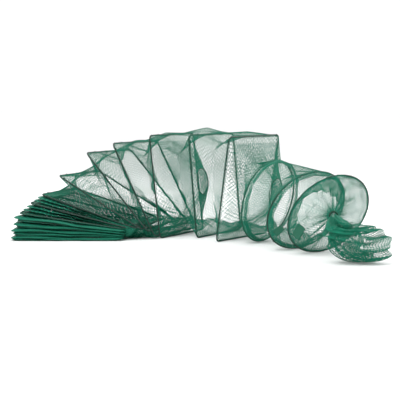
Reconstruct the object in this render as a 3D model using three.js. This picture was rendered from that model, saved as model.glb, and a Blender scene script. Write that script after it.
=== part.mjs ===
// Folding crab trap: a tube of netting held open by square wire frames and round hoops.
// The left end is folded into a flat pile, the middle fans up and stands open, and the right
// end narrows to a tied neck with a slack tail bag. Millimetres, +Z up, +X from the folded end
// towards the tail, -Y towards the side that the tail flops to.
import * as THREE from 'three';

// Driving dimensions
const FRAME_SIDE = 247;        // square frame, between wire centres
const CORNER_RADIUS = 12;      // bend of the frame wire at each corner
const HOOP_RADIUS = 98;        // round hoop, to the wire centre
const WIRE_RADIUS = 1.5;       // coated steel wire
const WIRE_SIDES = 8;
const ROUND_RADIUS = WIRE_RADIUS / Math.cos(Math.PI / WIRE_SIDES);   // so that flats touch it
const BEND_SEGMENTS = 16;      // of a square frame's four bends together
const HOOP_SEGMENTS = 36;
const NET_CLEAR = 0.5;         // gap between netting and wire
const NET_WALL = 1;            // netting skin, as thick as its knots
const SECTION_NET = 180;       // length of netting between two frames when pulled straight
const SLEEVE_NET = 230;        // the same between the first two hoops
const FRAME_FOLD = 0.65;       // share of the slack that folds in between frames
const TAPER_FOLD = 0.4;        // the same from the last frame to the first hoop
const HOOP_FOLD = 0.25;        // the same between hoops
const NET_STEPS = 16;          // points round a netting ring
const NOTCH_SHARE = 0.6;       // how far the two faces of a fold may run together, of its depth
const TAB_THICKNESS = 1.2;
const TAB_START = 13;          // from the hoop to the near end of a tab
const TAB_STAND = 5;           // how far a tab stands off the netting that it is sewn to
const TAB_ANGLE = 211;         // place of the webbing tabs round their hoops
const TAB_SPIN = 45;           // how far the tabs are turned from the run of the netting
const SMALL_TAB = [30, 14];    // length and width
const LARGE_TAB = [38, 20];
const PANEL_GAP = 4;           // from the netting line to the edge of the end panel
const ORIGIN = [23.77, 136.38, 0];   // moves the base centre of the whole trap to the origin

// Folded pile: frames stacked flat, each a little higher and more tilted than the last
const PILE_COUNT = 7;
const PILE_PITCH = 4.4;
const PILE_NEAR = [-191, -58, 1.5];   // near lower corner of the lowest frame
const PILE_SHIFT = [8, 6];     // how far the highest frame of the pile lies from the lowest
const PILE_TILT = 8.4;
const PILE_YAW = 2.5;
const PILE_RISE = 2.2;         // the tilt grows slowly at first, by this power
const BUNDLE_WIDTH = 20;       // folded netting inside the stacked wires

// Frames that fan up from the pile and stand: near lower corner, yaw and tilt in degrees.
// Tilt 0 lies flat towards the left and 90 stands upright.
const STANDING = [
  { near: [-168, -47, 28.4], yaw: 8, tilt: 13.5 },
  { near: [-154, -42, 28.6], yaw: 14, tilt: 18 },
  { near: [-140, -36, 25.5], yaw: 19, tilt: 30 },
  { near: [-125, -27, 19.5], yaw: 23, tilt: 48.5 },
  { near: [-109, -17, 7.5], yaw: 24, tilt: 63 },
  { near: [-96, -7, 1.7], yaw: 25, tilt: 83.5 },
  { near: [-8, 0, 1.7], yaw: 27, tilt: 85 },
  { near: [38, -89, 1.7], yaw: 31, tilt: 98 },
];

// Entrance funnels: the steps of their taper, and the throat's radius and depth
const FUNNEL_RIM = { inset: 16, shift: 4 };
const FUNNEL_WAIST = { inset: 76, share: 0.55 };
const FUNNEL_THROAT = 32;
const FUNNEL_DEPTHS = [70, 75];

// Hoops: lowest point, yaw and tilt
const HOOPS = [
  { foot: [142, -70, 1.7], yaw: 39, tilt: 103 },
  { foot: [212, -226, 1.7], yaw: 60, tilt: 117 },
  { foot: [254, -297, 1.7], yaw: 62, tilt: 119 },
];

// Tail: the neck where the netting is tied, and the slack bag beyond it
const NECK = [275, -442, 95];
const NECK_RADIUS = 7;
const CORD_RADIUS = 1.6;
const CORD_GAP = 0.6;          // between the cord and the netting that it holds
const CORD_SIDES = 8;
const CORD_SEGMENTS = 20;
const CONE_WAIST = { share: 0.55, back: 12, out: 10 };   // where the end cone bulges
const TIE_OFFSET = 5;           // from the end of the cone to the cord
const TAIL = [
  { at: [278, -456, 90], wide: 8, high: 7 },
  { at: [288, -475, 71], wide: 30, high: 17 },
  { at: [307, -490, 46], wide: 48, high: 28 },
  { at: [337, -486, 31], wide: 56, high: 29 },
  { at: [367, -468, 29], wide: 48, high: 27 },
];

const materials = {
  wire: new THREE.MeshStandardMaterial({ color: 0x13211c, roughness: 0.45, metalness: 0.3 }),
  netting: new THREE.MeshStandardMaterial({ color: 0x1f8a62, roughness: 0.75, metalness: 0 }),
  webbing: new THREE.MeshStandardMaterial({ color: 0x0f6a48, roughness: 0.85, metalness: 0 }),
  cord: new THREE.MeshStandardMaterial({ color: 0x0c3a2a, roughness: 0.8, metalness: 0 }),
};

const trap = new THREE.Group();
trap.position.fromArray(ORIGIN);

function addMesh(name, geometry, material) {
  const mesh = new THREE.Mesh(geometry, material);
  mesh.name = name;
  trap.add(mesh);
  return mesh;
}

// A closed skin through rows of points: each row is a closed loop, and the last row joins the
// first. With paired, a loop goes out along one face of a wall and back along the other, and the
// triangles of both faces are cut along the same diagonals, so that a twisted wall stays as thick
function wrapSkin(rows, paired) {
  const count = rows[0].length;
  const index = [];
  rows.forEach((row, i) => {
    const a = i * count;
    const b = ((i + 1) % rows.length) * count;
    row.forEach((_, j) => {
      const k = (j + 1) % count;
      if (paired && j >= count / 2) index.push(a + j, b + j, a + k, b + j, b + k, a + k);
      else index.push(a + j, b + j, b + k, a + j, b + k, a + k);
    });
  });
  const geometry = new THREE.BufferGeometry().setFromPoints(rows.flat());
  geometry.setIndex(index);
  if (signedVolume(geometry) < 0) geometry.setIndex(index.toReversed());
  geometry.computeVertexNormals();
  return geometry;
}

function signedVolume(geometry) {
  const corners = [new THREE.Vector3(), new THREE.Vector3(), new THREE.Vector3()];
  const { index, attributes } = geometry;
  let volume = 0;
  for (let i = 0; i < index.count; i += 3) {
    corners.forEach((c, j) => c.fromBufferAttribute(attributes.position, index.getX(i + j)));
    volume += corners[0].dot(corners[1].clone().cross(corners[2])) / 6;
  }
  return volume;
}

// A station is where a frame or hoop stands: its middle, and its across, up and along directions
function makeStation(round, lowest, yaw, tilt) {
  const turn = THREE.MathUtils.degToRad(yaw);
  const rise = THREE.MathUtils.degToRad(tilt);
  const level = new THREE.Vector3(Math.cos(turn), -Math.sin(turn), 0);
  const across = new THREE.Vector3(Math.sin(turn), Math.cos(turn), 0);
  const top = new THREE.Vector3(0, 0, 1);
  const up = level.clone().multiplyScalar(-Math.cos(rise)).addScaledVector(top, Math.sin(rise));
  const along = new THREE.Vector3().crossVectors(across, up);
  const half = round ? HOOP_RADIUS : FRAME_SIDE / 2;
  const middle = new THREE.Vector3(...lowest).addScaledVector(up, half);
  if (!round) middle.addScaledVector(across, half);
  return { round, middle, across, up, along, half };
}

function pileStation(k) {
  const share = k / (PILE_COUNT - 1);
  const near = [
    PILE_NEAR[0] + PILE_SHIFT[0] * share ** 2,
    PILE_NEAR[1] + PILE_SHIFT[1] * share,
    PILE_NEAR[2] + k * PILE_PITCH,
  ];
  return makeStation(false, near, PILE_YAW * share, PILE_TILT * share ** PILE_RISE);
}

// At its corners a square reaches this much further than at its sides, and a round bend cuts
// this share of its radius off that
const SQUARE_CORNER = 0.414;
const CORNER_CUT = 0.3;

// A point on a station's ring, inset from the wire centre and shifted along the trap
function ringPoint(station, angle, inset, shift) {
  const c = Math.cos(angle);
  const s = Math.sin(angle);
  const size = station.half - inset;
  const square = 1 / Math.max(Math.abs(c), Math.abs(s));
  const cut = CORNER_CUT * (CORNER_RADIUS / station.half);
  const corner = 1 - cut * (square - 1) / SQUARE_CORNER;
  const reach = station.round ? size : size * square * corner;
  return station.middle.clone()
    .addScaledVector(station.across, reach * c)
    .addScaledVector(station.up, reach * s)
    .addScaledVector(station.along, shift);
}

function ringAngles(count) {
  return Array.from({ length: count }, (_, i) => (i / count) * 2 * Math.PI);
}

function addWire(name, station, segments) {
  const geometry = new THREE.TorusGeometry(
    station.round ? station.half : CORNER_RADIUS, ROUND_RADIUS, WIRE_SIDES, segments);
  turnFlatsDown(geometry, station, segments);
  const mesh = addMesh(name, geometry, materials.wire);
  mesh.position.copy(station.middle);
  const basis = new THREE.Matrix4().makeBasis(station.across, station.up, station.along);
  mesh.quaternion.setFromRotationMatrix(basis);
}

// Rebuilds the torus rings with flats facing inwards, outwards and along the trap, and for a
// square frame moves each quarter of the torus out to its own corner
function turnFlatsDown(geometry, station, segments) {
  const ring = station.round ? station.half : CORNER_RADIUS;
  const spread = station.round ? 0 : station.half - CORNER_RADIUS;
  const position = geometry.attributes.position;
  for (let side = 0; side <= WIRE_SIDES; side++) {
    const around = ((side + 0.5) / WIRE_SIDES) * 2 * Math.PI;
    for (let i = 0; i <= segments; i++) {
      const angle = ((i % segments + 0.5) / segments) * 2 * Math.PI;
      const reach = ring + ROUND_RADIUS * Math.cos(around);
      position.setXYZ(side * (segments + 1) + i,
        reach * Math.cos(angle) + spread * Math.sign(Math.cos(angle)),
        reach * Math.sin(angle) + spread * Math.sign(Math.sin(angle)),
        ROUND_RADIUS * Math.sin(around));
    }
  }
  geometry.computeVertexNormals();
}

// Netting packed flat between two stacked frames
function addBundle(name, a, b) {
  const inner = WIRE_RADIUS + NET_CLEAR + BUNDLE_WIDTH;
  const outer = WIRE_RADIUS + NET_CLEAR;
  addMesh(name, wrapSkin(ringAngles(NET_STEPS).map((angle) => [
    ringPoint(a, angle, outer, NET_CLEAR),
    ringPoint(b, angle, outer, -NET_CLEAR),
    ringPoint(b, angle, inner, -NET_CLEAR),
    ringPoint(a, angle, inner, NET_CLEAR),
  ]), true), materials.netting);
}

// How far the slack of a section folds in, from the distance that it has to span
function foldDepth(span, slack) {
  return 0.5 * Math.sqrt(Math.max(slack ** 2 - span ** 2, 0));
}

// The line of a bellows at one angle: from one station, in to the fold half way, and out again
function bellowsLine(a, b, angle, slack, share) {
  const inset = WIRE_RADIUS + NET_CLEAR + NET_WALL;
  const centre = a.middle.clone().add(b.middle).multiplyScalar(0.5);
  const start = ringPoint(a, angle, inset, NET_CLEAR);
  const end = ringPoint(b, angle, inset, -NET_CLEAR);
  const fold = foldDepth(start.distanceTo(end), slack) * share;
  const middle = start.clone().add(end).multiplyScalar(0.5);
  const inwards = centre.sub(middle).normalize();
  middle.addScaledVector(inwards, fold);
  return { start, middle, end, inwards };
}

// The other face of the netting along that line, towards the notch of the fold
function notchLine({ start, middle, end }) {
  const first = start.clone().sub(middle).normalize();
  const second = end.clone().sub(middle).normalize();
  const between = first.clone().add(second).normalize();
  const sine = first.clone().cross(between).length();
  const deepest = NOTCH_SHARE * start.distanceTo(middle);
  const aside = (leg) => between.clone().addScaledVector(leg, -between.dot(leg))
    .setLength(NET_WALL);
  return [
    start.clone().add(aside(first)),
    middle.clone().addScaledVector(between, Math.min(NET_WALL / sine, deepest)),
    end.clone().add(aside(second)),
  ];
}

// A bellows of netting between two standing stations, folded inwards half way
function addBellows(name, a, b, slack, share) {
  const rows = ringAngles(NET_STEPS).map((angle) => {
    const line = bellowsLine(a, b, angle, slack, share);
    return [line.start, line.middle, line.end, ...notchLine(line).toReversed()];
  });
  addMesh(name, wrapSkin(rows, true), materials.netting);
}

// A netting funnel laced inside a frame, which lets the catch in and not out
function addFunnel(name, station, throat, depth) {
  const steps = [
    FUNNEL_RIM,
    { inset: FUNNEL_WAIST.inset, shift: depth * FUNNEL_WAIST.share },
    { inset: station.half - throat, shift: depth },
  ];
  addMesh(name, wrapSkin(ringAngles(NET_STEPS).map((angle) => [
    ...steps.map((s) => ringPoint(station, angle, s.inset, s.shift)),
    ...steps.toReversed().map((s) => ringPoint(station, angle, s.inset + NET_WALL, s.shift)),
  ]), true), materials.netting);
}

// The line of the end cone at one angle: from the hoop over its waist to the neck
function coneLine(hoop, neck, neckRadius, angle, wall) {
  const axis = neck.clone().sub(hoop.middle).normalize();
  const side = hoop.across;
  const up = new THREE.Vector3().crossVectors(axis, side).normalize();
  const outward = new THREE.Vector3()
    .addScaledVector(side, Math.cos(angle)).addScaledVector(up, Math.sin(angle));
  const rim = ringPoint(hoop, angle, WIRE_RADIUS + NET_CLEAR + wall, NET_CLEAR);
  const end = neck.clone().addScaledVector(outward, neckRadius - wall);
  const waist = rim.clone().lerp(end, CONE_WAIST.share)
    .addScaledVector(axis, -CONE_WAIST.back).addScaledVector(outward, CONE_WAIST.out - wall);
  return { rim, waist, end };
}

// The end cone: netting drawn from the last hoop to the tied neck
function addEndCone(name, hoop, neck, neckRadius) {
  const rows = ringAngles(NET_STEPS).map((angle) => {
    const outside = coneLine(hoop, neck, neckRadius, angle, 0);
    const inside = coneLine(hoop, neck, neckRadius, angle, NET_WALL);
    return [outside.rim, outside.waist, outside.end, inside.end, inside.waist, inside.rim];
  });
  addMesh(name, wrapSkin(rows, true), materials.netting);
}

// The slack bag of netting beyond the neck, open at its far end
function addTail(name) {
  const rows = TAIL.map(({ at, wide, high }, i) => {
    const before = new THREE.Vector3(...TAIL[Math.max(i - 1, 0)].at);
    const after = new THREE.Vector3(...TAIL[Math.min(i + 1, TAIL.length - 1)].at);
    const along = after.sub(before).normalize();
    const across = new THREE.Vector3(-along.y, along.x, 0).normalize();
    const up = new THREE.Vector3().crossVectors(along, across).negate();
    if (up.z < 0) up.negate();
    const ring = (thin) => ringAngles(NET_STEPS).map((angle) => new THREE.Vector3(...at)
      .addScaledVector(across, Math.cos(angle) * (wide - thin))
      .addScaledVector(up, Math.sin(angle) * (high - thin)));
    return { outside: ring(0), inside: ring(NET_WALL) };
  });
  addMesh(name, wrapSkin([
    ...rows.map((r) => r.outside), ...rows.toReversed().map((r) => r.inside),
  ], false), materials.netting);
}

// A cord wound round the neck, with its axis along the gathered netting
function addTie(name, centre, axis) {
  const geometry = new THREE.TorusGeometry(
    NECK_RADIUS + CORD_RADIUS + CORD_GAP, CORD_RADIUS, CORD_SIDES, CORD_SEGMENTS);
  const mesh = addMesh(name, geometry, materials.cord);
  mesh.position.copy(centre);
  mesh.quaternion.setFromUnitVectors(new THREE.Vector3(0, 0, 1), axis);
}

// A tab of flat webbing sewn on the outside of a net skin that runs from one point to another
function addTab(name, from, to, outwards, [length, width]) {
  const run = to.clone().sub(from).normalize();
  const over = new THREE.Vector3().crossVectors(outwards, run).normalize();
  const facing = new THREE.Vector3().crossVectors(run, over);
  const geometry = new THREE.BoxGeometry(length, width, TAB_THICKNESS);
  geometry.rotateZ(THREE.MathUtils.degToRad(TAB_SPIN));
  const mesh = addMesh(name, geometry, materials.webbing);
  mesh.position.copy(from).addScaledVector(run, length / 2 + TAB_START)
    .addScaledVector(facing, TAB_STAND);
  mesh.quaternion.setFromRotationMatrix(new THREE.Matrix4().makeBasis(run, over, facing));
}

// The flat end of netting across the lowest frame
function addEndPanel(name, station) {
  const inset = WIRE_RADIUS + NET_CLEAR;
  const side = FRAME_SIDE - 2 * (inset + PANEL_GAP);
  const panel = new THREE.BoxGeometry(side, side, NET_WALL);
  const mesh = addMesh(name, panel, materials.netting);
  mesh.position.copy(station.middle);
}

const frames = Array.from({ length: PILE_COUNT }, (_, k) => pileStation(k));
STANDING.forEach(({ near, yaw, tilt }) => frames.push(makeStation(false, near, yaw, tilt)));
const hoops = HOOPS.map(({ foot, yaw, tilt }) => makeStation(true, foot, yaw, tilt));

const label = (n) => String(n).padStart(2, '0');
frames.forEach((station, i) => addWire(`frame_${label(i + 1)}`, station, BEND_SEGMENTS));
hoops.forEach((station, i) => addWire(`hoop_${i + 1}`, station, HOOP_SEGMENTS));

addEndPanel('end_panel', frames[0]);
for (let i = 1; i < frames.length; i++) {
  const name = `net_${label(i)}_${label(i + 1)}`;
  if (i < PILE_COUNT) addBundle(name, frames[i - 1], frames[i]);
  else addBellows(name, frames[i - 1], frames[i], SECTION_NET, FRAME_FOLD);
}
addBellows('net_15_hoop_1', frames.at(-1), hoops[0], SECTION_NET, TAPER_FOLD);
addBellows('net_hoop_1_2', hoops[0], hoops[1], SLEEVE_NET, HOOP_FOLD);
addBellows('net_hoop_2_3', hoops[1], hoops[2], SECTION_NET, HOOP_FOLD);

addFunnel('entrance_funnel_1', frames[12], FUNNEL_THROAT, FUNNEL_DEPTHS[0]);
addFunnel('entrance_funnel_2', frames[14], FUNNEL_THROAT, FUNNEL_DEPTHS[1]);

const neck = new THREE.Vector3(...NECK);
const neckAxis = new THREE.Vector3(...TAIL[0].at).sub(neck).normalize();
addEndCone('end_cone', hoops[2], neck, NECK_RADIUS);
addTie('tie_cord', neck.clone().addScaledVector(neckAxis, TIE_OFFSET), neckAxis);
addTail('tail_bag');

const tabAngle = THREE.MathUtils.degToRad(TAB_ANGLE);
const sleeve = bellowsLine(hoops[1], hoops[2], tabAngle, SECTION_NET, HOOP_FOLD);
addTab('webbing_tab_1', sleeve.start, sleeve.middle, sleeve.inwards.negate(), SMALL_TAB);
const cone = coneLine(hoops[2], neck, NECK_RADIUS, tabAngle, 0);
addTab('webbing_tab_2', cone.rim, cone.waist, cone.rim.clone().sub(hoops[2].middle), LARGE_TAB);

export default trap;
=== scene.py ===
"""Looks of a folding crab trap: twine netting, lacing, webbing and coated wire around the CAD frame."""

import math

import bpy
import numpy as np
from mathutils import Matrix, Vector


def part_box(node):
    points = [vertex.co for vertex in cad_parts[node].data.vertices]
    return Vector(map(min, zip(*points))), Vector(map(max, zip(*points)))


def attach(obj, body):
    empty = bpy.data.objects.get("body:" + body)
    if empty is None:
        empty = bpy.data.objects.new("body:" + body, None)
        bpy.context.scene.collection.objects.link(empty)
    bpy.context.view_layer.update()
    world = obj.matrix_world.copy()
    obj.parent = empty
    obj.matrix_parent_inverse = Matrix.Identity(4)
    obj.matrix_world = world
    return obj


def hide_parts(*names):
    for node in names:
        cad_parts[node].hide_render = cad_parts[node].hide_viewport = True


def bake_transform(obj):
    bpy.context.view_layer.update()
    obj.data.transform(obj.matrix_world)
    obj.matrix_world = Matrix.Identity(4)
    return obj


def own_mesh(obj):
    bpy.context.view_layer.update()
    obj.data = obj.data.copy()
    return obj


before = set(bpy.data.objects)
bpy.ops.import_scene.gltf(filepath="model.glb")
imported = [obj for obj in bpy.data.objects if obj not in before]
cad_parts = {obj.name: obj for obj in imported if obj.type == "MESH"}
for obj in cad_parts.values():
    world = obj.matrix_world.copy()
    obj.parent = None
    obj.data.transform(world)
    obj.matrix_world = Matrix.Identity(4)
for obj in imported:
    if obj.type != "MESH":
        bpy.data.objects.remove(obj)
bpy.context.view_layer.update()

# Driving sizes, in metres
WIRE = 0.0015               # radius of the coated wire
TWINE = 0.00047             # radius of the netting twine
MESHES_ROUND = 94           # diamonds of netting round the trap
MESH_LENGTH = 0.0105        # length of one diamond, along the trap
PANEL = 0.18                # netting between two frames, pulled straight
SLEEVE = 0.23               # netting between the first two hoops
OVER_WIRE = 0.0019          # netting stands this far outside the wire's centre
LACING = 0.0006             # radius of the lacing twine
LACING_PITCH = 0.0085       # between two turns of the lacing
LACING_STEPS = 7            # places along one turn of the lacing
LACING_SIDES = 4
LACING_KNOTS = 16           # thicker places round one wire
NARROW_BLEND = 0.003        # least half width of the cloth that bends between two wires
GROUND = 0.0003             # lowest place of any cloth or twine
FRAME_CORNER = 0.012        # radius of a square frame's corners
TWINE_SIDES = 3

# Packed netting: how deep it folds in, and how its loops stand out and hang down, panel by panel
PILE_FRAMES = 7
PILE_FOLDS = 2
PILE_ROWS = 27              # diamonds between two wires of the pile
PILE_GRID = (256, 24)       # places of the sheet round the trap and along it
PLEAT_DEPTH = 0.038
ROLL = 0.0048               # how far the two sides of a loop stand apart
LOOPS = [(0.006, 0.001), (0.010, 0.003), (0.007, 0.002), (0.0105, 0.0035), (0.009, 0.003),
         (0.010, 0.003)]

# Hung netting: the fan's lowest leaves are dense sheets, and slack sinks at the hinges of the fan
DENSE_SECTIONS = (7, 8)
DENSE_FOLDS = 3
DENSE_GRID = (264, 48)
FAN_DROOP = {7: 0.015, 8: 0.03, 9: 0.07, 10: 0.07, 11: 0.07}
SINKS_FROM, SINKS_OVER = 0.45, 0.42     # the part of a turn where it sinks
WRINKLE = 0.003             # height of the wrinkles
SHARPNESS = 1.15            # 1 is a straight crease, and more is a round one

# Bunches of each kind of panel at its first wire, half way and at its second wire
FRAME_BUNCHES = (0.05, 0.05, 0.05)
FIRST_HOOP_BUNCHES = (0.06, 0.06, 0.12)
SLEEVE_BUNCHES = (0.1, 0.05, 0.1)
LAST_HOOP_BUNCHES = (0.12, 0.06, 0.12)
CONE_BUNCHES = (0.1, 0.03, 0.02)

# Shares of the slack that fold inwards, round the trap: turn 0 is the far side, 0.25 the top,
# 0.5 the near side and 0.75 the bottom
STANDING_FOLD = [(0.0, 0.6), (0.11, 0.25), (0.17, -0.2), (0.24, 0.1), (0.31, 0.5), (0.375, 0.8),
                 (0.5, 0.5), (0.625, 0.8), (0.75, 0.45), (0.875, 0.55)]
DENSE_FOLD = [(0.0, 1.0), (0.25, 0.9), (0.5, 1.0), (0.75, 0.95)]
HOOP_FOLD = [(0.0, 0.5), (0.12, 0.65), (0.25, 0.6), (0.35, 0.5), (0.5, 0.62), (0.65, 0.6),
             (0.8, 0.45)]

# Bands of closer netting at the hoops
HEM_SHARE = 0.07            # of the panel
HEM_ROWS = 3

# The flat end and the funnels
END_STRANDS = (54, 13)      # diamonds of netting round it, and from rim to middle
END_REACH = 0.97            # share of the way to the middle
FUNNEL_STRANDS = (78, 13)
FUNNEL_INSET = 0.016        # from the frame's wire to the funnel's rim
FUNNEL_START = 0.004        # from the frame's plane to the rim
FUNNEL_FLARE = 0.8          # 1 is a straight cone
THROAT = 0.032              # radius of a funnel's throat
THROAT_CORD = 0.001
THROAT_PLACES = 49
THROAT_SIDES = 6

# The cone and the tail bag
CONE_ROWS = 16
CONE_PLEATS = 13
CONE_RIPPLE = 0.006
CONE_SLACK = 0.012          # how far the cone hangs back and puffs out
NECK = 0.0065               # radius of the gathered netting in the tie
TAIL_ROWS = 19
TAIL_MOUTH = 0.72           # the rest of the cloth is turned in at the mouth
TAIL_WAVES = 0.09
TAIL_PLEATS = 9
# where the middle of the bag runs, as shares of its box, after the neck
TAIL_ROUTE = [[0.1, 0.14, 0.72], [0.26, 0.26, 0.46], [0.52, 0.4, 0.36], [0.8, 0.58, 0.4]]

# The tie at the neck, and the tabs
TIE_TURNS = 3.4
TIE_PLACES = 120
TIE_RADIUS = 0.0086
TIE_PITCH = 0.0022
TIE_CORD = 0.0011
TIE_SIDES = 8
TIE_PLY = 14                # turns of the yarn in each turn of the tie
TAB_TURN = 18               # how far the soft tabs hang askew, in degrees
TAB_THICK = 0.0012
TAB_GRID = (25, 13)         # places along the tab and across it
TAB_BEND = 0.0012
TAB_RIPPLE = 0.0003

FLOOR_SIZE = 80

# The camera and its lens, in millimetres of a 36 mm wide picture
CAMERA_PLACE = (0.0238, -3.1036, 0.33)
CAMERA_DOWN = 4.19
CAMERA_LENS = 121.9

rng = np.random.default_rng(7)


# ---------------------------------------------------------------- materials

MIX_COLOUR_INPUTS = (0, 6, 7)   # places of the factor and both colours on a Mix node
MIX_COLOUR_OUTPUT = 2
OBJECT_OUTPUT = 3               # place of Object on a Texture Coordinate node
HOLE_EDGE = 0.3                 # where the twine of packed netting ends and its holes start


class Value:
    """A number in a shader. Its operators add Math nodes."""

    def __init__(self, paint, socket):
        self.paint = paint
        self.socket = socket

    def _math(self, operation, *values):
        return self.paint.value("ShaderNodeMath", {"operation": operation}, *values)

    def __add__(self, other):
        return self._math("ADD", self, other)

    def __radd__(self, other):
        return self._math("ADD", other, self)

    def __sub__(self, other):
        return self._math("SUBTRACT", self, other)

    def __rsub__(self, other):
        return self._math("SUBTRACT", other, self)

    def __mul__(self, other):
        return self._math("MULTIPLY", self, other)

    def __rmul__(self, other):
        return self._math("MULTIPLY", other, self)

    def __pow__(self, other):
        return self._math("POWER", self, other)

    def __gt__(self, other):
        return self._math("GREATER_THAN", self, other)

    def least(self, other):
        return self._math("MINIMUM", self, other)

    def wave(self):
        """0 in the middle of each whole number and 0.5 half way between two."""
        return self._math("PINGPONG", self, 0.5)


class Paint:
    """One material: its nodes, and the shader that they feed."""

    def __init__(self, name):
        self.material = bpy.data.materials.new(name)
        self.material.use_nodes = True
        self.tree = self.material.node_tree
        self.shader = self.tree.nodes["Principled BSDF"]

    def node(self, kind, settings, *values):
        made = self.tree.nodes.new(kind)
        for key, setting in settings.items():
            setattr(made, key, setting)
        for socket, given in zip(made.inputs, values):
            self.feed(socket, given)
        return made

    def value(self, kind, settings, *values, output=0):
        return Value(self, self.node(kind, settings, *values).outputs[output])

    def feed(self, socket, given):
        if isinstance(given, Value):
            self.tree.links.new(given.socket, socket)
        else:
            socket.default_value = given

    def surface(self, **inputs):
        for name, given in inputs.items():
            self.feed(self.shader.inputs[name.replace("_", " ")], given)
        return self.material

    def place(self):
        return self.value("ShaderNodeTexCoord", {}, output=OBJECT_OUTPUT)

    def noise(self, scale, detail=3.0):
        made = self.node("ShaderNodeTexNoise", {})
        self.feed(made.inputs["Vector"], self.place())
        made.inputs["Scale"].default_value = scale
        made.inputs["Detail"].default_value = detail
        return Value(self, made.outputs["Fac"])

    def colours(self, share, first, second):
        """The first colour where share is 0, and the second where it is 1."""
        made = self.node("ShaderNodeMix", {"data_type": "RGBA"})
        for socket, given in zip(MIX_COLOUR_INPUTS, (share, first, second)):
            self.feed(made.inputs[socket], given)
        return Value(self, made.outputs[MIX_COLOUR_OUTPUT])

    def bump(self, height, distance, strength=1.0):
        made = self.tree.nodes.new("ShaderNodeBump")
        made.inputs["Strength"].default_value = strength
        made.inputs["Distance"].default_value = distance
        self.feed(made.inputs["Height"], height)
        return Value(self, made.outputs["Normal"])

    def along_piece(self):
        """The two directions of the piece's own UV map."""
        uv = self.value("ShaderNodeUVMap", {"uv_map": "cloth"})
        parts = self.node("ShaderNodeSeparateXYZ", {}, uv)
        return Value(self, parts.outputs[0]), Value(self, parts.outputs[1])


def coated_wire():
    paint = Paint("coated_wire")
    blotch = paint.noise(60)
    grain = paint.noise(900, 2)
    colour = paint.colours(blotch, (0.006, 0.016, 0.012, 1), (0.012, 0.042, 0.03, 1))
    return paint.surface(
        Base_Color=colour, Roughness=0.32 + 0.3 * grain, Metallic=0.1,
        Normal=paint.bump(grain, 0.0002, 0.4), Coat_Weight=0.25)


def net_twine():
    paint = Paint("net_twine")
    batch = paint.noise(18)
    fibre = paint.noise(700, 4)
    base = paint.colours(batch, (0.002, 0.095, 0.053, 1), (0.004, 0.17, 0.098, 1))
    colour = paint.colours(fibre, base, (0.008, 0.235, 0.14, 1))
    return paint.surface(
        Base_Color=colour, Roughness=0.5 + 0.25 * fibre, Specular_IOR_Level=0.2,
        Normal=paint.bump(fibre, 0.0002, 0.5))


def near_twine(paint):
    """1 on the twine of the diamond netting, down to 0 in the middle of its holes."""
    across, length = paint.along_piece()
    return 1 - 2 * (across + length).wave().least((across - length).wave())


def packed_net():
    paint = Paint("packed_net")
    near = near_twine(paint)
    patch = paint.noise(45)
    fine = paint.noise(500, 3)
    # The dark and light greens are shaded and lit copies of one twine colour: painted shade on the
    # twine's flanks towards the holes, and a painted highlight along its middle.
    dark = paint.colours(patch, (0.002, 0.07, 0.04, 1), (0.004, 0.12, 0.07, 1))
    light = paint.colours(patch, (0.008, 0.19, 0.115, 1), (0.025, 0.3, 0.19, 1))
    colour = paint.colours(near ** 3, dark, light)
    return paint.surface(
        Base_Color=colour, Roughness=0.5 + 0.25 * fine,
        Alpha=near > HOLE_EDGE, Specular_IOR_Level=0.2,
        Normal=paint.bump(near ** 2 + 0.3 * fine, 0.0006, 0.8))


def woven_webbing():
    paint = Paint("woven_webbing")
    across, length = paint.along_piece()
    ribs = (across * 11).wave() * 2
    picks = (length * 24 + 12 * across).wave() * 2
    weave = ribs * 0.6 + picks * 0.5
    fuzz = paint.noise(1500, 3)
    colour = paint.colours(weave, (0.003, 0.055, 0.03, 1), (0.008, 0.16, 0.09, 1))
    return paint.surface(
        Base_Color=colour, Roughness=0.65 + 0.2 * fuzz,
        Normal=paint.bump(weave + 0.2 * fuzz, 0.0005, 0.9))


def dark_twine():
    paint = Paint("dark_twine")
    across, length = paint.along_piece()
    ply = (length + 2 * across).wave() * 2
    fuzz = paint.noise(1200, 3)
    colour = paint.colours(ply, (0.002, 0.02, 0.012, 1), (0.006, 0.085, 0.05, 1))
    return paint.surface(
        Base_Color=colour, Roughness=0.6 + 0.25 * fuzz, Normal=paint.bump(ply, 0.0003, 0.8))


def pale_floor():
    paint = Paint("pale_floor")
    cloud = paint.noise(2)
    colour = paint.colours(cloud, (0.9, 0.9, 0.9, 1), (0.93, 0.93, 0.93, 1))
    return paint.surface(Base_Color=colour, Roughness=0.9)


WIRE_PAINT = coated_wire()
NET_PAINT = net_twine()
PACKED_PAINT = packed_net()
WEBBING_PAINT = woven_webbing()
TWINE_PAINT = dark_twine()


# ---------------------------------------------------------------- stations

def unit(vectors):
    return vectors / np.maximum(np.linalg.norm(vectors, axis=-1, keepdims=True), 1e-12)


class Station:
    """Where a wire stands: its middle, half size, and its across, up and along directions."""

    TRAVEL = (1, -0.5, 0.6)     # roughly from the folded end to the tail

    def __init__(self, node):
        points = np.array([v.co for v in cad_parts[node].data.vertices])
        points = np.unique(points.round(6), axis=0)
        self.body = node
        self.round = node.startswith("hoop")
        self.middle = points.mean(axis=0)
        along = np.linalg.svd(points - self.middle)[2][2]
        self.along = along * np.sign(along @ self.TRAVEL)
        level = np.array([self.along[0], self.along[1], 0])
        level = unit(level) if np.linalg.norm(level) > 1e-3 else np.array([1.0, 0, 0])
        self.across = np.array([-level[1], level[0], 0])
        self.up = np.cross(self.along, self.across)
        self.half = np.abs((points - self.middle) @ self.across).max() - WIRE

    def ring(self, turn, inset=0.0, shift=0.0):
        """Places round the wire at shares of a turn, inset from its centre and shifted along."""
        half = self.half - inset
        if self.round:
            x, y = half * np.cos(2 * np.pi * turn), half * np.sin(2 * np.pi * turn)
        else:
            x, y = square_corner(turn, half, FRAME_CORNER - inset)
        flat = x[..., None] * self.across + y[..., None] * self.up
        return self.middle + flat + np.asarray(shift)[..., None] * self.along


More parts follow.
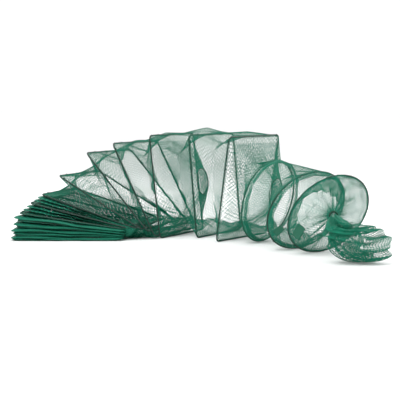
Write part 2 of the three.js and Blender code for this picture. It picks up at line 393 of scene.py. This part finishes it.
def square_corner(turn, half, corner):
    """A square with round corners, with turn 0 in the middle of its far side."""
    corner = max(corner, 0.002)
    x = half * np.clip(np.abs(8 * turn % 8 - 4) - 2, -1, 1)
    y = half * np.clip(np.abs((8 * turn - 2) % 8 - 4) - 2, -1, 1)
    over_x = np.abs(x) - (half - corner)
    over_y = np.abs(y) - (half - corner)
    inside = (over_x > 0) & (over_y > 0)
    shrink = np.where(inside, corner / np.maximum(np.hypot(over_x, over_y), 1e-9), 1)
    x = np.where(inside, np.sign(x) * (half - corner + over_x * shrink), x)
    y = np.where(inside, np.sign(y) * (half - corner + over_y * shrink), y)
    return x, y


frames = [Station(f"frame_{n:02d}") for n in range(1, 16)]
hoops = [Station(f"hoop_{n}") for n in range(1, 4)]


# ---------------------------------------------------------------- mesh making

def make_piece(name, points, faces, paint, uv=None):
    """A mesh piece from points, faces of three or four corners, and the cloth place of each point."""
    points = np.array(points, np.float32)
    points[:, 2] = np.maximum(points[:, 2], GROUND)
    mesh = bpy.data.meshes.new(name)
    mesh.vertices.add(len(points))
    mesh.vertices.foreach_set("co", points.ravel())
    corners = faces.shape[1]
    mesh.loops.add(faces.size)
    mesh.loops.foreach_set("vertex_index", faces.astype(np.int32).ravel())
    mesh.polygons.add(len(faces))
    mesh.polygons.foreach_set("loop_start", np.arange(0, faces.size, corners, dtype=np.int32))
    mesh.update(calc_edges=True)
    mesh.polygons.foreach_set("use_smooth", np.ones(len(faces), bool))
    if uv is not None:
        layer = mesh.uv_layers.new(name="cloth")
        layer.data.foreach_set("uv", uv[faces.ravel()].astype(np.float32).ravel())
    mesh.materials.append(paint)
    piece = bpy.data.objects.new(name, mesh)
    bpy.context.scene.collection.objects.link(piece)
    return piece


def grid_faces(rows, columns, wrap=True):
    """Faces of a grid of rows by columns of points, joined round its columns if it wraps."""
    i = np.arange(rows - 1)[:, None] * columns
    j = np.arange(columns if wrap else columns - 1)[None, :]
    k = (j + 1) % columns
    return np.stack([i + j, i + k, i + columns + k, i + columns + j], -1).reshape(-1, 4)


def tube(lines, radii, normals, sides):
    """Points and faces of open tubes along lines of points, an array of (tubes, places, 3)."""
    tangent = unit(np.gradient(lines, axis=1))
    side = unit(np.cross(tangent, normals))
    normal = np.cross(side, tangent)
    turn = 2 * np.pi * (np.arange(sides) + 0.25) / sides
    ring = (np.cos(turn)[:, None] * side[:, :, None, :]
            + np.sin(turn)[:, None] * normal[:, :, None, :])
    points = lines[:, :, None, :] + np.asarray(radii)[..., None, None] * ring
    count, places = lines.shape[:2]
    one = grid_faces(places, sides)
    faces = (one[None] + np.arange(count)[:, None, None] * places * sides).reshape(-1, 4)
    return points.reshape(-1, 3), faces


def strand_net(name, surface, around, rows):
    """A diamond net of twine over surface(turn, length), where both go from 0 to 1."""
    steps = 2 * rows
    length = np.broadcast_to(np.linspace(0, 1, steps + 1), (around, steps + 1))
    small = 0.2 / around
    parts = []
    for lean in (1, -1):
        turn = (np.arange(around)[:, None] + lean * np.arange(steps + 1) / 2) / around
        lines = surface(turn, length)
        normal = np.cross(surface(turn + small, length) - lines,
                          surface(turn, np.clip(length + small, 0, 1)) - lines
                          + 1e-9 * rng.standard_normal(3))
        parts.append(tube(lines, np.full(lines.shape[:2], TWINE), unit(normal), TWINE_SIDES))
    (points, faces), (crossing_points, crossing_faces) = parts
    return make_piece(name, np.vstack([points, crossing_points]),
                      np.vstack([faces, crossing_faces + len(points)]), NET_PAINT)


def cloth_net(name, surface, around, rows, columns, steps):
    """Tightly packed netting as a sheet with its diamonds in the material."""
    turn, length = np.meshgrid(np.arange(columns) / columns, np.linspace(0, 1, steps + 1))
    points = surface(turn, length)
    turn = np.append(turn, np.ones((steps + 1, 1)), axis=1)
    length = np.append(length, length[:, :1], axis=1)
    points = np.append(points, points[:, :1], axis=1)
    uv = np.stack([turn * around, length * rows], -1).reshape(-1, 2)
    faces = grid_faces(steps + 1, columns + 1, wrap=False)
    return make_piece(name, points.reshape(-1, 3), faces, PACKED_PAINT, uv)


def waves(count, lowest, highest, size):
    """Random wrinkles with sharp creases over a surface, about as high as size. Each of them
    goes round a whole number of times, from lowest up to highest."""
    around = rng.integers(lowest, highest, count)
    lengths = rng.uniform(-1.5, 1.5, count)
    phase = rng.uniform(0, 2 * np.pi, count)
    weight = size / np.sqrt(count)

    def height(turn, length):
        angle = turn[..., None] * around * 2 * np.pi + length[..., None] * lengths * np.pi + phase
        return weight * (1 - np.pi / 2 * np.abs(np.sin(angle / 2))).sum(axis=-1)
    return height


def crossing(piece, a, b):
    """Works out the room that is free between the wires of two stations, and bakes the piece's place
    into its mesh.
    """
    middle_plane = unit(a.along + b.along)
    turn = np.linspace(0, 1, 65)
    last = (a.ring(turn) @ middle_plane).max()
    first = (b.ring(turn) @ middle_plane).min()
    middle = (a.middle + b.middle) / 2
    centre = (last + first) / 2 - middle @ middle_plane
    half = max((first - last) / 2, NARROW_BLEND)
    start = middle + middle_plane * (centre - half)
    end = middle + middle_plane * (centre + half)
    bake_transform(piece)


# ---------------------------------------------------------------- netting sections

def gathered(near, middle, far):
    """Where along its fold each part of the cloth lies, with bunches at both ends and half way.
    near, middle and far are the widths of the bunches, as shares of the fold."""
    cloth, fold = [0.0], [0.0]

    def bunch(start, width):
        """The cloth goes on by width, back, and on again."""
        for step in (width, 0.3 * width, 1.3 * width):
            cloth.append(cloth[-1] + abs(start + step - fold[-1]))
            fold.append(start + step)

    bunch(0, near)
    for start, width in ((0.5 - 0.65 * middle, middle), (1 - 1.3 * far, far)):
        cloth.append(cloth[-1] + start - fold[-1])
        fold.append(start)
        bunch(start, width)
    cloth = np.array(cloth) / cloth[-1]
    return lambda length: np.interp(length, cloth, fold)


def fold_share(turn, table):
    """How much of the slack folds in, smoothly between the places of a table of turn and share."""
    places, shares = zip(*table)
    places = np.array([*places, places[0] + 1])
    shares = np.array([*shares, shares[0]])
    turn = (turn - places[0]) % 1 + places[0]
    index = np.clip(np.searchsorted(places, turn, side="right") - 1, 0, len(places) - 2)
    t = (turn - places[index]) / (places[index + 1] - places[index])
    t = t * t * (3 - 2 * t)
    return shares[index] + (shares[index + 1] - shares[index]) * t


def bellows(a, b, cloth, table, bunches, folds=1, droop=0.0):
    """The surface of netting that hangs between two wires and folds inwards. bunches are shares
    of the fold, and droop is how far the slack at the hinge of a fan sinks."""
    lay = gathered(*bunches)
    outward_waves = waves(7, 4, 17, WRINKLE)
    sideways_waves = waves(7, 5, 21, WRINKLE)
    axis = unit(b.middle - a.middle)

    def surface(turn, length):
        fold = lay(length)
        start, end = a.ring(turn, -OVER_WIRE), b.ring(turn, -OVER_WIRE)
        half_way = (start + end) / 2
        inwards = unit((a.middle + b.middle) / 2 - half_way)
        span = np.linalg.norm(end - start, axis=-1)
        slack = 0.5 * np.sqrt(np.maximum(cloth ** 2 - span ** 2, 0))
        depth = slack * fold_share(turn, table) / folds
        tent = 1 - np.abs(2 * (folds * fold % 1) - 1) ** SHARPNESS
        tent = np.where(fold < 1, tent, 0)
        free = np.sin(np.pi * length) ** 0.7
        points = start + (end - start) * fold[..., None]
        points = points + inwards * (depth * tent)[..., None]
        low = np.sin(np.pi * np.clip((turn % 1 - SINKS_FROM) / SINKS_OVER, 0, 1))
        points[..., 2] -= droop * low * tent
        points = points - inwards * (free * outward_waves(turn, length))[..., None]
        return points + axis * (free * sideways_waves(turn, length))[..., None]
    return surface


def pleats(a, b, bulge, drop):
    """The surface of netting packed between two stacked frames, in loops that stand out by bulge
    and hang by drop over the wires below them."""
    first_waves, second_waves = waves(6, 3, 11, 0.5 * bulge), waves(6, 3, 11, 0.002)

    def surface(turn, length):
        start, end = a.ring(turn, -OVER_WIRE), b.ring(turn, -OVER_WIRE)
        points = start + (end - start) * length[..., None]
        inwards = unit((a.middle + b.middle) / 2 - (start + end) / 2)
        swing = (1 - np.cos(2 * np.pi * PILE_FOLDS * length)) / 2
        loop = (1 - swing) ** 0.6 * np.sin(np.pi * length) ** 0.5
        out = loop * (bulge + first_waves(turn, 0.6 * length))
        points = points - a.along * (ROLL * loop * np.sin(2 * np.pi * length))[..., None]
        points = points + inwards * (swing * PLEAT_DEPTH - out)[..., None]
        return points - a.along * (loop * (drop + second_waves(turn, length)))[..., None]
    return surface


def section_name(i):
    return f"net_{i:02d}_{i + 1:02d}"


for i in range(1, PILE_FRAMES):
    a, b = frames[i - 1], frames[i]
    surface = pleats(a, b, *LOOPS[i - 1])
    piece = cloth_net(f"packed_{section_name(i)}", surface, MESHES_ROUND, PILE_ROWS, *PILE_GRID)
    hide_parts(section_name(i))
    crossing(piece, a, b)


def hem(name, body, surface):
    """A band of close netting, where a panel is sewn to its hoop."""
    piece = strand_net(name, lambda turn, length: surface(turn, HEM_SHARE * length),
                       2 * MESHES_ROUND, HEM_ROWS)
    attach(piece, body)
    return piece


def hang(node, a, b, cloth, table, bunches, dense=False, **shape):
    """One section of netting between two stations, of single strands or, if dense, as a sheet."""
    surface = bellows(a, b, cloth, table, bunches, **shape)
    rows = round(cloth / MESH_LENGTH)
    if dense:
        piece = cloth_net(f"hung_{node}", surface, MESHES_ROUND, rows, *DENSE_GRID)
    else:
        piece = strand_net(f"hung_{node}", surface, MESHES_ROUND, rows)
    edges = [hem(f"hem_{node}", a.body, surface)] if a.round else []
    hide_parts(node)
    crossing(piece, a, b)


for i in range(PILE_FRAMES, len(frames)):
    dense = i in DENSE_SECTIONS
    hang(section_name(i), frames[i - 1], frames[i], PANEL, DENSE_FOLD if dense else STANDING_FOLD,
         FRAME_BUNCHES, dense=dense, folds=DENSE_FOLDS if dense else 1, droop=FAN_DROOP.get(i, 0))
hang("net_15_hoop_1", frames[-1], hoops[0], PANEL, HOOP_FOLD, FIRST_HOOP_BUNCHES)
hang("net_hoop_1_2", hoops[0], hoops[1], SLEEVE, HOOP_FOLD, SLEEVE_BUNCHES)
hang("net_hoop_2_3", hoops[1], hoops[2], PANEL, HOOP_FOLD, LAST_HOOP_BUNCHES)


# ---------------------------------------------------------------- end panel and funnels

def end_surface(turn, length):
    station = frames[0]
    rim = station.ring(turn, WIRE)
    return rim + (station.middle - rim) * (END_REACH * length)[..., None]


piece = strand_net("end_netting", end_surface, *END_STRANDS)
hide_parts("end_panel")
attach(piece, "frame_01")


def funnel_surface(station, depth):
    """Netting from just inside a frame to a round throat at depth behind it."""
    ripple = waves(5, 3, 12, 0.004)

    def surface(turn, length):
        rim = station.ring(turn, FUNNEL_INSET, FUNNEL_START)
        angle = 2 * np.pi * turn
        mouth = (station.middle + depth * station.along
                 + THROAT * (np.cos(angle)[..., None] * station.across
                             + np.sin(angle)[..., None] * station.up))
        narrow = length ** FUNNEL_FLARE
        points = rim + (mouth - rim) * narrow[..., None]
        return points + station.along * (np.sin(np.pi * length) * ripple(turn, length))[..., None]
    return surface


def throat_ring(name, station, depth):
    """The dark cord that keeps a funnel's throat open."""
    turn = np.linspace(0, 1, THROAT_PLACES)
    centre = station.middle + depth * station.along
    out = (np.cos(2 * np.pi * turn)[:, None] * station.across
           + np.sin(2 * np.pi * turn)[:, None] * station.up)
    points, faces = tube((centre + THROAT * out)[None], np.full((1, THROAT_PLACES), THROAT_CORD),
                         out[None], THROAT_SIDES)
    piece = make_piece(name, points, faces, TWINE_PAINT, np.zeros((len(points), 2)))
    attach(piece, station.body)
    return piece


# each funnel's frame and its depth
FUNNELS = {"entrance_funnel_1": (frames[12], 0.07), "entrance_funnel_2": (frames[14], 0.075)}
# the joint that pushes the next wire against a funnel
PRESSED_BY = {"entrance_funnel_2": "hoop_1_slide"}
for node, (station, depth) in FUNNELS.items():
    piece = strand_net(f"{node}_netting", funnel_surface(station, depth), *FUNNEL_STRANDS)
    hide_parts(node)
    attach(piece, station.body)
    ring = throat_ring(f"{node}_throat", station, depth)
    if node in PRESSED_BY:
        for part in (piece, ring):
            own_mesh(part)


# ---------------------------------------------------------------- cone, tie and tail

def box_centre(node):
    low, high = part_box(node)
    return np.array((low + high) / 2)


neck = box_centre("tie_cord")
tail_low, tail_high = (np.array(corner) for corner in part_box("tail_bag"))


def cone_surface(hoop, end, end_radius):
    """Netting drawn from the last hoop to the tied neck, in pleats that deepen towards the neck."""
    axis = unit(end - hoop.middle)
    up = unit(np.cross(axis, hoop.across))
    ripple = waves(5, 8, 15, CONE_RIPPLE)
    lay = gathered(*CONE_BUNCHES)

    def surface(turn, length):
        fold = lay(length)
        angle = 2 * np.pi * turn
        out = np.cos(angle)[..., None] * hoop.across + np.sin(angle)[..., None] * up
        rim = hoop.ring(turn, -OVER_WIRE)
        pleat = np.sin(angle * CONE_PLEATS + 0.6 * np.sin(3 * angle)) * 0.35 + 0.65
        tip = end + out * (end_radius * pleat)[..., None]
        points = rim + (tip - rim) * fold[..., None]
        sag = np.sin(np.pi * fold) ** 1.2
        points = points + axis * (sag * (ripple(turn, length) - CONE_SLACK))[..., None]
        return points + out * (sag * (0.5 * ripple(turn, length) + CONE_SLACK * pleat))[..., None]
    return surface


piece = strand_net("end_cone_netting", cone_surface(hoops[2], neck, NECK), MESHES_ROUND, CONE_ROWS)
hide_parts("end_cone")
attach(piece, "hoop_3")


def tail_route(length):
    """The middle of the tail bag, from the neck down to the floor and along it."""
    places = np.vstack([neck, tail_low + (tail_high - tail_low) * np.array(TAIL_ROUTE)])
    at = np.clip(length, 0, 1) * (len(places) - 1)
    index = np.minimum(at.astype(int), len(places) - 2)
    part = (at - index)[..., None]
    return places[index] + (places[index + 1] - places[index]) * part


tail_waves = waves(6, 4, 15, TAIL_WAVES)


def tail_surface(turn, length):
    """The slack bag, with its mouth turned in at the far end."""
    reach = (TAIL_MOUTH - np.abs(TAIL_MOUTH - length)) / TAIL_MOUTH
    middle = sum(tail_route(reach + step) for step in (-0.08, 0, 0.08)) / 3
    ahead = unit(tail_route(reach + 0.12) - tail_route(reach - 0.12))
    across = unit(np.stack([-ahead[..., 1], ahead[..., 0], 0 * ahead[..., 0]], -1))
    up = np.cross(ahead, across)
    up = up * np.sign(up[..., 2:3] + 1e-9)
    inside = 1 - 0.9 * np.maximum(length - TAIL_MOUTH, 0)
    wide = (0.006 + 0.048 * np.sin(reach * 1.9) ** 1.1) * inside
    high = (0.006 + 0.03 * np.sin(reach * 2.1) ** 1.1) * inside
    angle = 2 * np.pi * turn
    deep = 0.34 - 0.22 * reach
    pleat = (1 + deep * np.sin(TAIL_PLEATS * angle + 5 * reach) * np.sin(2 * angle + 1)
             + tail_waves(turn, reach))
    return (middle + across * (np.cos(angle) * wide * pleat)[..., None]
            + up * (np.sin(angle) * high * pleat)[..., None]
            + ahead * (0.006 * reach * np.sin(5 * angle + 1))[..., None])


piece = strand_net("tail_bag_netting", tail_surface, MESHES_ROUND, TAIL_ROWS)
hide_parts("tail_bag")
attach(piece, "tail")


# ---------------------------------------------------------------- wires and lacing

for station in [*frames, *hoops]:
    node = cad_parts[station.body]
    node.data.materials.clear()
    node.data.materials.append(WIRE_PAINT)


def lacing(station):
    """Twine wound round a wire, which holds the netting to it."""
    girth = (2 * math.pi if station.round else 8) * station.half
    turns = round(girth / LACING_PITCH)
    steps = turns * LACING_STEPS
    turn = np.linspace(0, 1, steps + 1)
    line = station.ring(turn)
    tangent = unit(np.gradient(line, axis=0))
    out = unit(np.cross(tangent, station.along))
    coil = 2 * np.pi * turns * turn
    reach = WIRE + LACING * 0.8
    line = line + reach * (np.cos(coil)[:, None] * out + np.sin(coil)[:, None] * station.along)
    knot = np.maximum(0, np.sin(2 * np.pi * LACING_KNOTS * turn)) ** 24
    points, faces = tube(line[None], (LACING * (1 + 2 * knot))[None], out[None], LACING_SIDES)
    uv = np.stack([np.tile(np.arange(LACING_SIDES) / LACING_SIDES, steps + 1),
                   np.repeat(turn * turns * 4, LACING_SIDES)], -1)
    piece = make_piece(f"lacing_{station.body}", points, faces, TWINE_PAINT, uv)
    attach(piece, station.body)


for station in [*frames, *hoops]:
    lacing(station)


# ---------------------------------------------------------------- tie cord and webbing tabs

def tie():
    """Turns of twine round the neck."""
    corners = np.array([v.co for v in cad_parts["tie_cord"].data.vertices])
    axis = np.linalg.svd(corners - corners.mean(axis=0))[2][2]
    across = unit(np.cross(axis, (0, 0, 1)))
    up = np.cross(axis, across)
    turn = np.linspace(0, TIE_TURNS, TIE_PLACES)
    line = (neck + TIE_RADIUS * (np.cos(2 * np.pi * turn)[:, None] * across
                                 + np.sin(2 * np.pi * turn)[:, None] * up)
            + axis * ((turn - TIE_TURNS / 2) * TIE_PITCH)[:, None])
    points, faces = tube(line[None], np.full((1, TIE_PLACES), TIE_CORD),
                         np.broadcast_to(axis, (1, TIE_PLACES, 3)), TIE_SIDES)
    uv = np.stack([np.tile(np.arange(TIE_SIDES) / TIE_SIDES, TIE_PLACES),
                   np.repeat(turn * TIE_PLY, TIE_SIDES)], -1)
    piece = make_piece("tie_cord_turns", points, faces, TWINE_PAINT, uv)
    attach(piece, "hoop_3")
    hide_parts("tie_cord")


tie()


def tab(node, body):
    """A tab of webbing: a woven strip that bends a little and hangs askew."""
    corners = np.unique(np.array([v.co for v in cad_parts[node].data.vertices]).round(5), axis=0)
    centre = corners.mean(axis=0)
    run, over, facing = np.linalg.svd(corners - centre)[2]
    length = np.ptp((corners - centre) @ run)
    width = np.ptp((corners - centre) @ over)
    turned = math.radians(TAB_TURN)
    run, over = (math.cos(turned) * run + math.sin(turned) * over,
                 math.cos(turned) * over - math.sin(turned) * run)
    columns, rows = TAB_GRID
    along, aside = np.meshgrid(np.linspace(-0.5, 0.5, columns), np.linspace(-0.5, 0.5, rows))
    lift = (TAB_BEND * np.cos(np.pi * along) * (1 - 0.5 * (2 * aside) ** 2)
            + TAB_RIPPLE * np.sin(9 * along))
    points = (centre + (along * length)[..., None] * run + (aside * width)[..., None] * over
              + lift[..., None] * facing)
    uv = np.stack([aside + 0.5, along + 0.5], -1).reshape(-1, 2)
    piece = make_piece(f"{node}_woven", points.reshape(-1, 3),
                       grid_faces(rows, columns, wrap=False), WEBBING_PAINT, uv)
    thick = piece.modifiers.new("thickness", "SOLIDIFY")
    thick.thickness = TAB_THICK
    thick.offset = 0
    bpy.ops.object.select_all(action="DESELECT")
    bpy.context.view_layer.objects.active = piece
    bpy.ops.object.modifier_apply(modifier="thickness")
    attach(piece, body)
    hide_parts(node)


tab("webbing_tab_1", "hoop_2")
tab("webbing_tab_2", "hoop_3")


# ---------------------------------------------------------------- floor, lights and camera

def add_floor():
    bpy.ops.object.select_all(action="DESELECT")
    bpy.ops.mesh.primitive_plane_add(size=FLOOR_SIZE)
    floor = bpy.context.object
    floor.name = "floor"
    floor.data.materials.append(pale_floor())


def add_light(name, place, aim, size, power):
    data = bpy.data.lights.new(name, "AREA")
    data.size = size
    data.energy = power
    light = bpy.data.objects.new(name, data)
    light.location = place
    light.rotation_euler = (Vector(aim) - Vector(place)).to_track_quat("-Z", "Y").to_euler()
    bpy.context.scene.collection.objects.link(light)


def add_world():
    world = bpy.data.worlds.new("studio")
    bpy.context.scene.world = world
    world.use_nodes = True
    background = world.node_tree.nodes["Background"]
    background.inputs["Color"].default_value = (1, 1, 1, 1)
    background.inputs["Strength"].default_value = 1.1


def add_camera():
    data = bpy.data.cameras.new("camera")
    data.lens = CAMERA_LENS
    data.sensor_width = 36
    camera = bpy.data.objects.new("camera", data)
    camera.location = CAMERA_PLACE
    camera.rotation_euler = (math.radians(90 - CAMERA_DOWN), 0, 0)
    bpy.context.scene.collection.objects.link(camera)
    bpy.context.scene.camera = camera


add_floor()
add_world()
add_light("key", (-0.8, -1.6, 2.2), (0, 0, 0.1), 1.6, 40)
add_light("back", (0.6, 1.6, 1.8), (0, 0, 0.1), 2.0, 30)
add_camera()
bpy.context.scene.view_settings.view_transform = "Standard"
